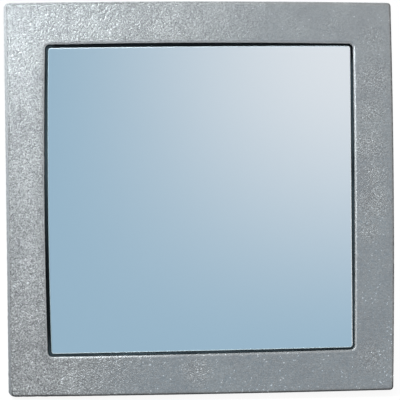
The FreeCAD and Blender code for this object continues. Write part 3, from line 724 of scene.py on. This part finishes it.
# %% Draw a rounded square and bend it
def rounded_square(half, radius, sides, per_side=24, per_corner=5):
    outline = []
    inner = half - radius
    for corner, (way_x, way_z) in enumerate(((1, 1), (-1, 1), (-1, -1), (1, -1))):
        for step in range(per_corner + 1):
            angle = math.radians(90) * (corner + step / per_corner)
            outline.append((
                way_x * inner + radius * math.cos(angle), way_z * inner + radius * math.sin(angle),
            ))
        for step in range(1, per_side):
            run = inner * (1 - 2 * step / per_side)
            outline.append(((run, half), (-half, run), (-run, -half), (half, -run))[corner])
    outline = np.array(outline)
    across, up = outline[:, 0].copy(), outline[:, 1].copy()
    outline[:, 0] += np.abs(across) / half * pushed(across, up, sides, "left", "right")
    outline[:, 1] += np.abs(up) / half * pushed(up, across, sides, "bottom", "top")
    return outline


def ring_faces(rings, count):
    faces = []
    for ring in range(rings - 1):
        low, high = ring * count, (ring + 1) * count
        for step in range(count):
            after = (step + 1) % count
            faces.append((low + step, low + after, high + after, high + step))
    return faces


# %% Build the plate
glass_half = 69.9
glass_back = 10.2
arris = 0.4
glass_sides = {
    "left": (-0.96, 0.41, -0.84), "right": (-0.02, 0.01, 0.03),
    "bottom": (0.09, -0.03, -0.55), "top": (-0.56, -0.02, -0.27),
}
rings = [
    (glass_half, 1.3, glass_back), (glass_half, 1.3, glass_ahead - arris),
    (glass_half - 0.6 * arris, 1.1, glass_ahead - 0.3 * arris), (glass_half - arris, 1.0, glass_ahead),
]
corners = []
for half, radius, front in rings:
    corners += [(px, -front, pz) for px, pz in rounded_square(half, radius, glass_sides)]
around = len(corners) // len(rings)
faces = ring_faces(len(rings), around)
faces.append(tuple(range(3 * around, 4 * around)))
faces.append(tuple(reversed(range(around))))
plate = drawn_mesh("glass", corners, faces)
face_first, edge_next, arris_next, back_last = range(4)
order = [edge_next] * around + [arris_next] * (2 * around) + [face_first, back_last]
plate.polygons.foreach_set("material_index", order)
print(f"glass plate of {2 * glass_half:.1f} mm, ground to {2 * (glass_half - arris):.1f} mm at its face")

# %% [markdown]
# ## The glass: its silvered face
#
# A silvered face is a metal without roughness. A perfect one could be used as it is, but it would look
# like a hole in the picture. A glass in use has the faintest film from wiping and a few specks of dust. A
# slow, twisted noise makes the film and the peaks of a fine one make the specks, and both only touch the
# roughness.

# %% Silvered face
silver, tree, place = blank("silvered_face")
wiped = cloud(tree, place, 30.0, 4.0, 0.6, 1.2)
speck = ranged(tree, cloud(tree, place, 900.0), 0.74, 0.80)
film = ranged(tree, wiped, 0.35, 0.75, 0.012, 0.03)
rough = reckon(tree, "ADD", film, ranged(tree, speck, 0.0, 1.0, 0.0, 0.08))
tone = mixed(tree, wiped, (0.875, 0.885, 0.885, 1), (0.89, 0.90, 0.90, 1))
coat(silver, tone, rough, {"Metallic": 1.0})

# %% [markdown]
# ## The glass: its ground arris
#
# The arris is ground, so it scatters light and reads as a hairline round the glass, pale on one side and
# darker on another. On the real plate that comes from countless tiny facets, which are far too small to
# model. So light and shade are painted into the tone by the way the arris faces: a painted highlight where
# it faces right, painted shade where it faces left, and a painted reflection of pale blue where it faces
# down. A fine noise stands for the facets.

# %% Ground arris
ground, tree, place = blank("ground_arris")
chips = cloud(tree, place, 1400.0, 3.0)
normal = add(tree, "NewGeometry").outputs["Normal"]
to_left = towards(tree, normal, turn @ Vector((-1, 0, 0)))
downwards = towards(tree, normal, turn @ Vector((0, 0, -1)))
pale = mixed(tree, chips, (0.42, 0.48, 0.52, 1), (0.58, 0.63, 0.66, 1))
# Painted highlight facing right, painted shade facing left, painted reflection of pale blue facing down.
with_painted_highlight = mixed(tree, ranged(tree, to_left, -0.05, -0.4), pale, (0.94, 0.96, 0.98, 1))
with_painted_shade = mixed(tree, ranged(tree, to_left, 0.05, 0.4), with_painted_highlight, (0.22, 0.28, 0.31, 1))
tone = mixed(tree, ranged(tree, downwards, 0.05, 0.4), with_painted_shade, (0.58, 0.69, 0.74, 1))
rough = ranged(tree, chips, 0.0, 1.0, 0.45, 0.70)
coat(ground, tone, rough, {"Specular IOR Level": 0.2, **bumped(tree, chips, 0.3, 0.00005)})

# %% [markdown]
# ## The glass: its edge and its back
#
# The edge shows the green of thick glass, and the back has the grey paint that keeps the silver from the
# air. Both are hidden once the plate is in its frame. They could share the finish of the face, but the
# plate may be taken out and reused, so each gets a simple finish of its own.

# %% Green edge and painted back
green_edge, tree, place = blank("glass_edge")
ripples = cloud(tree, place, 300.0, 3.0)
tone = mixed(tree, ripples, (0.02, 0.06, 0.05, 1), (0.05, 0.12, 0.10, 1))
rough = ranged(tree, ripples, 0.0, 1.0, 0.15, 0.4)
coat(green_edge, tone, rough, {"IOR": 1.52})

back_paint, tree, place = blank("mirror_back_paint")
orange_peel = cloud(tree, place, 420.0, 3.0)
tone = mixed(tree, orange_peel, (0.10, 0.12, 0.12, 1), (0.17, 0.18, 0.18, 1))
coat(back_paint, tone, 0.55, bumped(tree, orange_peel, 0.3, 0.0001))
glass_finishes = [silver, green_edge, ground, back_paint]
finished("glass", plate, "mirror", glass_finishes, "mirror_plate")

# %% [markdown]
# ## The packing strip
#
# The dark line round the glass is a strip of black foam, pushed into the gap to keep the plate from
# rattling. A tube swept round the window could stand for it, but a tube has one width. This strip is
# squeezed between two edges that don't run quite side by side, so its outer outline is the window's, its
# inner one is the glass's, and between them it swells.

# %% Build the packing strip
strip_back, strip_crown = 9.2, 12.5
outer_drop, inner_drop, swell_height, swell_length = 0.35, 0.25, 0.08, 3.5
window_line = rounded_square(window_half + 0.12, 1.9, window_sides, per_side=110)
glass_line = rounded_square(glass_half + 0.02, 1.3, glass_sides, per_side=110)
middle_line = (window_line + glass_line) / 2
around = len(middle_line)
swell = [noise.noise(Vector((px, 0, pz)) / swell_length) for px, pz in middle_line]
corners = [(px, -strip_back, pz) for px, pz in window_line]
corners += [(px, outer_drop - strip_crown, pz) for px, pz in window_line]
corners += [(px, -strip_crown - swell_height * lift, pz) for (px, pz), lift in zip(middle_line, swell)]
corners += [(px, inner_drop - strip_crown, pz) for px, pz in glass_line]
corners += [(px, -strip_back, pz) for px, pz in glass_line]
faces = ring_faces(5, around)
for step in range(around):
    after = (step + 1) % around
    faces.append((4 * around + step, 4 * around + after, after, step))
packing = drawn_mesh("packing_strip", corners, faces, smooth=True)
widths = np.linalg.norm(window_line - glass_line, axis=1)
print(f"packing strip between {widths.min():.2f} and {widths.max():.2f} mm wide")

# %% [markdown]
# ## The packing strip: foam and dust
#
# Foam is black because its cells swallow the light. Dust has settled where the strip lies open: on the
# ledge under the glass and along parts of both sides. A second material could stand for the dust, but its
# border would be hard. Here the place gives the share of dust, and a slow noise lets it lie in drifts. The
# strip is soft.

# %% Where dust has settled
black_foam, tree, place = blank("black_foam")
spot = add(tree, "SeparateXYZ", {0: place}).outputs
ledge = ranged(tree, spot["Z"], 0.030, 0.018)
on_ledge = times(tree, ledge, ranged(tree, spot["X"], -0.02, 0.07, 1.0, 0.5))
below_top = ranged(tree, spot["Z"], 0.151, 0.146)
on_right = times(tree, ranged(tree, spot["X"], 0.066, 0.070, 0.0, 0.60), below_top)
upper_part = ranged(tree, spot["Z"], 0.065, 0.100, 0.0, 0.55)
on_left = times(tree, ranged(tree, spot["X"], -0.066, -0.070), upper_part)
on_sides = reckon(tree, "MAXIMUM", on_left, on_right)
open_to_dust = reckon(tree, "MAXIMUM", on_ledge, on_sides)
settled = times(tree, open_to_dust, cloud(tree, place, 45.0))
print("nodes in the map of dust:", len(tree.nodes))

# %% Black foam
cells = add(tree, "TexVoronoi", {"Vector": place, "Scale": 2600.0}).outputs["Distance"]
foam = mixed(tree, cloud(tree, place, 240.0, 3.0), (0.002, 0.003, 0.004, 1), (0.006, 0.009, 0.011, 1))
dusty = mixed(tree, settled, foam, (0.115, 0.16, 0.185, 1))
coat(black_foam, dusty, 0.9, {"Specular IOR Level": 0.05, **bumped(tree, cells, 0.5, 0.0001)})
packing_strip = finished("packing_strip", packing, "mirror", [black_foam], "glazing_strip")

# %% [markdown]
# ## Eased edges
#
# No worked edge is perfectly sharp, and a small bevel catches the light where a sharp edge can't. The sheet
# and board pieces could be modelled afresh, but their CAD shapes are already right, so a copy is enough.
# Its flat faces are joined up again, each edge that turns sharply gets a narrow bevel, and small faces are
# shaded smooth. Large faces stay flat, or the bevels would pull their shading out of level.

# %% Ease the edges of a CAD shape and finish the piece
largest_facet = 20.0


def levelled(name, body):
    shape = copied(name, body)
    limit = math.radians(0.5)
    bmesh.ops.dissolve_limit(shape, angle_limit=limit, verts=shape.verts, edges=shape.edges)
    return shape


def eased(name, stands_for, body, finish, width, rounds=2):
    shape = levelled(stands_for, body)
    joined = [edge for edge in shape.edges if edge.is_manifold]
    sharp = [edge for edge in joined if edge.calc_face_angle() > math.radians(35)]
    bmesh.ops.bevel(
        shape, geom=sharp, offset=width, offset_type="OFFSET", segments=rounds,
        profile=0.5, affect="EDGES", clamp_overlap=True,
    )
    for face in shape.faces:
        face.smooth = face.calc_area() < largest_facet
    for edge in shape.edges:
        edge.smooth = not edge.is_manifold or edge.calc_face_angle() < math.radians(40)
    return finished(name, as_mesh(name, shape), body, [finish], stands_for)


print("faces larger than", largest_facet, "square millimetres stay flat")

# %% [markdown]
# ## Backing panel
#
# The panel is black fibreboard, pressed from wood fibre, and only its narrow edge shows round the cloth.
# A plain dark finish could do for so little, but the edge is what the eye compares with the cloth.
# Fibreboard is dull and flecked, and browner where an edge is worn. Pointiness, which tells how sharply
# the mesh turns outwards, finds these worn edges.

# %% Fibreboard
fibreboard, tree, place = blank("black_fibreboard")
fibres = cloud(tree, place, 900.0, 5.0, 0.7)
stains = cloud(tree, place, 60.0, 3.0)
dark = mixed(tree, fibres, (0.012, 0.011, 0.010, 1), (0.052, 0.046, 0.040, 1))
worn = ranged(tree, add(tree, "NewGeometry").outputs["Pointiness"], 0.54, 0.72, 0.0, 0.45)
tone = mixed(tree, worn, dark, (0.15, 0.115, 0.08, 1))
rough = ranged(tree, stains, 0.0, 1.0, 0.55, 0.85)
coat(fibreboard, tone, rough, bumped(tree, fibres, 0.4, 0.0001))
eased("panel", "backing_panel", "mirror", fibreboard, 0.2)

# %% [markdown]
# ## Foam tape
#
# Two strips of white foam tape, out of sight, hold the glass to the panel. They could be left as the CAD
# shows them, but the glass may be taken out, so they get the open cells of foam. A Voronoi texture gives
# them. The tape is soft and fills its whole gap.

# %% White foam tape
white_foam, tree, place = blank("white_foam_tape")
cells = add(tree, "TexVoronoi", {"Vector": place, "Scale": 1800.0}).outputs["Distance"]
tone = mixed(tree, cells, (0.80, 0.79, 0.76, 1), (0.66, 0.65, 0.62, 1))
coat(white_foam, tone, 0.9, bumped(tree, cells, 0.5, 0.0001))
tape = eased("tape", "tape_strips", "mirror", white_foam, 0.15)

# %% [markdown]
# ## Velour: its pile
#
# Black velour is glued over the panel and over the back of the strut. It was cut flat and lies stretched on
# the board, so each is one thin sheet, and no cloth simulation is needed. A grid of cuts gives the flat CAD
# sheet enough points for a soft edge and an uneven pile. The pile only ever sinks, so the hinge still lies
# on the cloth.


# %% Cut a grid into a sheet
def gridded(name, body, square):
    shape = levelled(name, body)
    for axis in (0, 2):
        low = min(corner.co[axis] for corner in shape.verts)
        high = max(corner.co[axis] for corner in shape.verts)
        cuts = round((high - low) / square)
        for cut in range(1, cuts):
            at, normal = Vector((0, 0, 0)), Vector((0, 0, 0))
            at[axis] = low + (high - low) * cut / cuts
            normal[axis] = 1
            everything = shape.verts[:] + shape.edges[:] + shape.faces[:]
            bmesh.ops.bisect_plane(shape, geom=everything, dist=0.001, plane_co=at, plane_no=normal)
    return shape


# %% Let the pile sink
nap_size, nap_deep, stroke_deep = 2.2, 0.05, 0.05
roll_wide, roll_deep = 1.6, 0.30
pile_square = 1.5


def piled(name, stands_for, body, finish, edge_distance, back):
    shape = gridded(stands_for, body, pile_square)
    for corner in shape.verts:
        if abs(corner.co.y - back) < 0.01:
            here = corner.co.copy()
            nap = 0.5 + 0.5 * noise.noise(here / nap_size)
            stroke = 0.5 + 0.5 * noise.noise(Vector((here.x / 9, 3.1, here.z / 22)))
            rolled = max(0.0, 1 - edge_distance(here) / roll_wide) ** 2
            corner.co.y -= nap_deep * nap + stroke_deep * stroke + roll_deep * rolled
    cloth = as_mesh(name, shape)
    cloth.shade_smooth()
    return finished(name, cloth, body, [finish], stands_for)


# %% [markdown]
# ## Velour: its finish
#
# A pile that is stroked one way looks lighter, and stroked the other way darker, by the way it catches the
# light. Hair particles could show it, but at this size a pile is finer than a hair can be drawn. So a
# noise, drawn out into strokes, paints that sheen into the tone as painted sheen, a very fine noise makes
# the pile, a few peaks of a third are lint, and the sheen of the shader gives the pale bloom that velour
# has when it is seen along its surface.

# %% Black velour
velour, tree, place = blank("black_velour")
drawn_out = add(tree, "Mapping", {"Vector": place, "Scale": (1.0, 0.3, 0.3)}).outputs[0]
strokes = ranged(tree, cloud(tree, drawn_out, 130.0, 4.0, 0.5, 0.4), 0.30, 0.70)
# Painted sheen: lighter and darker strokes of pile.
painted_pile_sheen = mixed(tree, strokes, (0.007, 0.007, 0.008, 1), (0.027, 0.027, 0.029, 1))
pile = cloud(tree, place, 3200.0, 2.0, 0.7)
tone = scaled(tree, painted_pile_sheen, ranged(tree, pile, 0.3, 0.7, 0.45, 1.3))
lint = ranged(tree, cloud(tree, place, 700.0, 1.0), 0.76, 0.80, 0.0, 0.5)
dusty = mixed(tree, lint, tone, (0.12, 0.12, 0.12, 1))
coat(velour, dusty, 0.95, {
    "Specular IOR Level": 0.1, **bumped(tree, pile, 0.9, 0.00025),
    "Sheen Weight": 0.35, "Sheen Roughness": 0.35, "Sheen Tint": (0.75, 0.77, 0.80, 1),
})

# %% Velour on the panel
cloth_half, cloth_back = 83.1, -5.6


def from_panel_edge(here):
    return cloth_half - max(abs(here.x), abs(here.z))


panel_velour = piled("panel_velour", "back_velour", "mirror", velour, from_panel_edge, cloth_back)

# %% Velour on the strut
strut_end, strut_start, strut_back = -133.05, -3.7, 1.25
strut_low_half, strut_high_half = 29.5, 21.5


def from_strut_edge(here):
    share = (here.z - strut_end) / (strut_start - strut_end)
    half = strut_low_half + (strut_high_half - strut_low_half) * share
    return min(half - abs(here.x), here.z - strut_end, strut_start - here.z)


strut_cloth = piled("strut_cloth", "strut_velour", "strut", velour, from_strut_edge, strut_back)

# %% [markdown]
# ## Worked metals
#
# Screws, rivets, hinge and pin are zinc, brass and steel. One shiny material could serve them all, but then
# they would look cast in one piece. They share a recipe instead, with their own colours: clouds of lighter
# and darker metal, fine lines from drawing or rolling, and stain in the hollows, which the pointiness of
# the mesh finds.


# %% A recipe for worked metal
def worked_metal(name, low, high, shine, scratch, stain):
    finish, tree, place = blank(name)
    surface = add(tree, "NewGeometry").outputs
    cloudy = cloud(tree, place, 260.0, 4.0, 0.6)
    drawn_out = add(tree, "Mapping", {"Vector": place, "Scale": (0.06, 1.0, 1.0)}).outputs[0]
    lines = cloud(tree, drawn_out, 3800.0)
    clean = mixed(tree, ranged(tree, cloudy, 0.34, 0.66), low, high)
    lined = scaled(tree, clean, ranged(tree, lines, 0.3, 0.7, 0.82, 1.12))
    tone = mixed(tree, ranged(tree, surface["Pointiness"], 0.50, 0.42), lined, stain)
    rough = ranged(tree, cloudy, 0.3, 0.7, shine, shine + 0.16)
    coat(finish, tone, rough, {"Metallic": 1.0, **bumped(tree, lines, scratch, 0.00004)})
    return finish


# %% Zinc, brass and steel
zinc = worked_metal(
    "zinc_plate", (0.46, 0.48, 0.50, 1), (0.62, 0.63, 0.63, 1), 0.28, 0.10, (0.16, 0.16, 0.15, 1),
)
brass = worked_metal(
    "rivet_brass", (0.56, 0.40, 0.17, 1), (0.74, 0.57, 0.28, 1), 0.24, 0.10, (0.22, 0.14, 0.06, 1),
)
hinge_steel = worked_metal(
    "hinge_steel", (0.36, 0.365, 0.37, 1), (0.56, 0.56, 0.555, 1), 0.27, 0.35, (0.15, 0.14, 0.13, 1),
)
pin_steel = worked_metal(
    "pin_steel", (0.50, 0.50, 0.50, 1), (0.64, 0.64, 0.63, 1), 0.20, 0.25, (0.14, 0.13, 0.12, 1),
)

# %% [markdown]
# ## Screws and rivets
#
# The panel is held by a pan-head screw in each corner, and the hinge by two domed rivets in each leaf. A
# lathe would turn them, so a lathe makes them here too: a profile of radius and height is spun round its
# axis. The cross recess of a screw could be cut with a boolean, but moving the points inside a cross down,
# with soft flanks, looks more like a pressed head.


# %% A lathe
def turned(profile, steps, middle, shape_point=None):
    corners = []
    for radius, height in profile:
        for step in range(steps):
            angle = 2 * math.pi * step / steps
            point = Vector((radius * math.cos(angle), height, radius * math.sin(angle)))
            if shape_point:
                point = shape_point(point)
            corners.append(tuple(point + middle))
    faces = ring_faces(len(profile), steps)
    faces.append(tuple(range((len(profile) - 1) * steps, len(profile) * steps)))
    faces.append(tuple(reversed(range(steps))))
    return corners, faces


def gathered(name, parts):
    corners, faces = [], []
    for some_corners, some_faces in parts:
        start = len(corners)
        corners += some_corners
        faces += [tuple(start + index for index in face) for face in some_faces]
    return drawn_mesh(name, corners, faces, smooth=True)


# %% Press a cross into a screw head
arm_reach, arm_half, cross_deep = 1.75, 0.50, 1.05
flank_wide, end_long, shallower = 0.16, 0.30, 0.35
head_low = 0.6


def pressed(angle):
    def shape_point(point):
        reach = math.hypot(point.x, point.z)
        if point.y < head_low or reach > arm_reach:
            return point
        across = abs(point.x * math.cos(angle) + point.z * math.sin(angle))
        other = abs(point.z * math.cos(angle) - point.x * math.sin(angle))
        inside = min(1.0, max(0.0, (arm_half - min(across, other)) / flank_wide))
        ends = min(1.0, (arm_reach - reach) / end_long)
        depth = cross_deep * inside * ends * (1 - shallower * reach / arm_reach)
        return Vector((point.x, point.y - depth, point.z))

    return shape_point


# %% Screws
screw_out = 77.5
crown_shares = np.linspace(0, 1, 23)
crown = [(0.02 + 1.9 * share, 1.8 - 0.32 * share**2) for share in crown_shares]
flank = [(2.2, 1.32), (2.5, 1.05), (2.72, 0.70), (2.8, 0.35), (2.8, 0.12), (2.72, 0.0)]
shank = [(1.45, 0.0), (1.45, -6.5), (0.3, -6.6)]
screws = []
for way_x, way_z, angle in ((1, 1, 0.3), (-1, 1, 1.1), (-1, -1, 0.75), (1, -1, 0.05)):
    middle = Vector((way_x * screw_out, cloth_back, way_z * screw_out))
    screws.append(turned(crown + flank + shank, 72, middle, pressed(angle)))
screw_mesh = gathered("screws", screws)
finished("screws", screw_mesh, "mirror", [zinc], "panel_screws")


# %% Domed rivets
def rivet_profile(grip):
    dome = [(0.02, 0.80), (0.5, 0.79), (1.0, 0.73), (1.5, 0.61), (1.95, 0.44), (2.3, 0.24)]
    edge = [(2.48, 0.07), (2.5, 0.0), (1.25, 0.0), (1.25, -grip)]
    clinch = [(2.1, -grip), (2.2, -grip - 0.2), (1.9, -grip - 0.5), (0.6, -grip - 0.6)]
    return dome + edge + clinch


rivet_out = 11.0
for name, stands_for, body, grip, back, up in (
    ("upper_rivets", "fixed_leaf_rivets", "mirror", 4.6, -4.6, 61.5),
    ("lower_rivets", "moving_leaf_rivets", "strut", 3.4, 2.25, -14.0),
):
    middles = [Vector((way * rivet_out, back, up)) for way in (-1, 1)]
    rivets = [turned(rivet_profile(grip), 40, middle) for middle in middles]
    finished(name, gathered(name, rivets), body, [brass], stands_for)

# %% [markdown]
# ## Hinge
#
# Both leaves are pressed from steel sheet and rolled round the pin. The ears on the moving leaf come up
# against the fixed leaf and stop the strut when it is open. These shapes could be drawn again here, but the
# stop works only if they stay exact, so eased copies of the CAD shapes are used. The drawn lines of the
# steel run across the hinge.

# %% Leaves and pin
eased("upper_leaf", "fixed_leaf", "mirror", hinge_steel, 0.12)
eased("lower_leaf", "moving_leaf", "strut", hinge_steel, 0.12)
eased("pin", "hinge_pin", "mirror", pin_steel, 0.25, 3)

# %% [markdown]
# ## Strut and foot
#
# The strut is the same fibreboard as the panel. A strip of black rubber under its end keeps it from sliding
# on the table. Both are eased CAD shapes. Rubber could be plain black, but then it would vanish against the
# cloth: it is dull, with a soft grey bloom and a little dust.

# %% Board and rubber
rubber, tree, place = blank("black_rubber")
bloom = cloud(tree, place, 180.0, 4.0)
dust = cloud(tree, place, 1600.0)
tone = mixed(tree, bloom, (0.014, 0.014, 0.014, 1), (0.040, 0.040, 0.041, 1))
rough = ranged(tree, bloom, 0.0, 1.0, 0.55, 0.8)
coat(rubber, tone, rough, bumped(tree, dust, 0.3, 0.00006))
eased("strut_panel", "strut_board", "strut", fibreboard, 0.25)
eased("foot", "strut_foot", "strut", rubber, 0.25, 3)
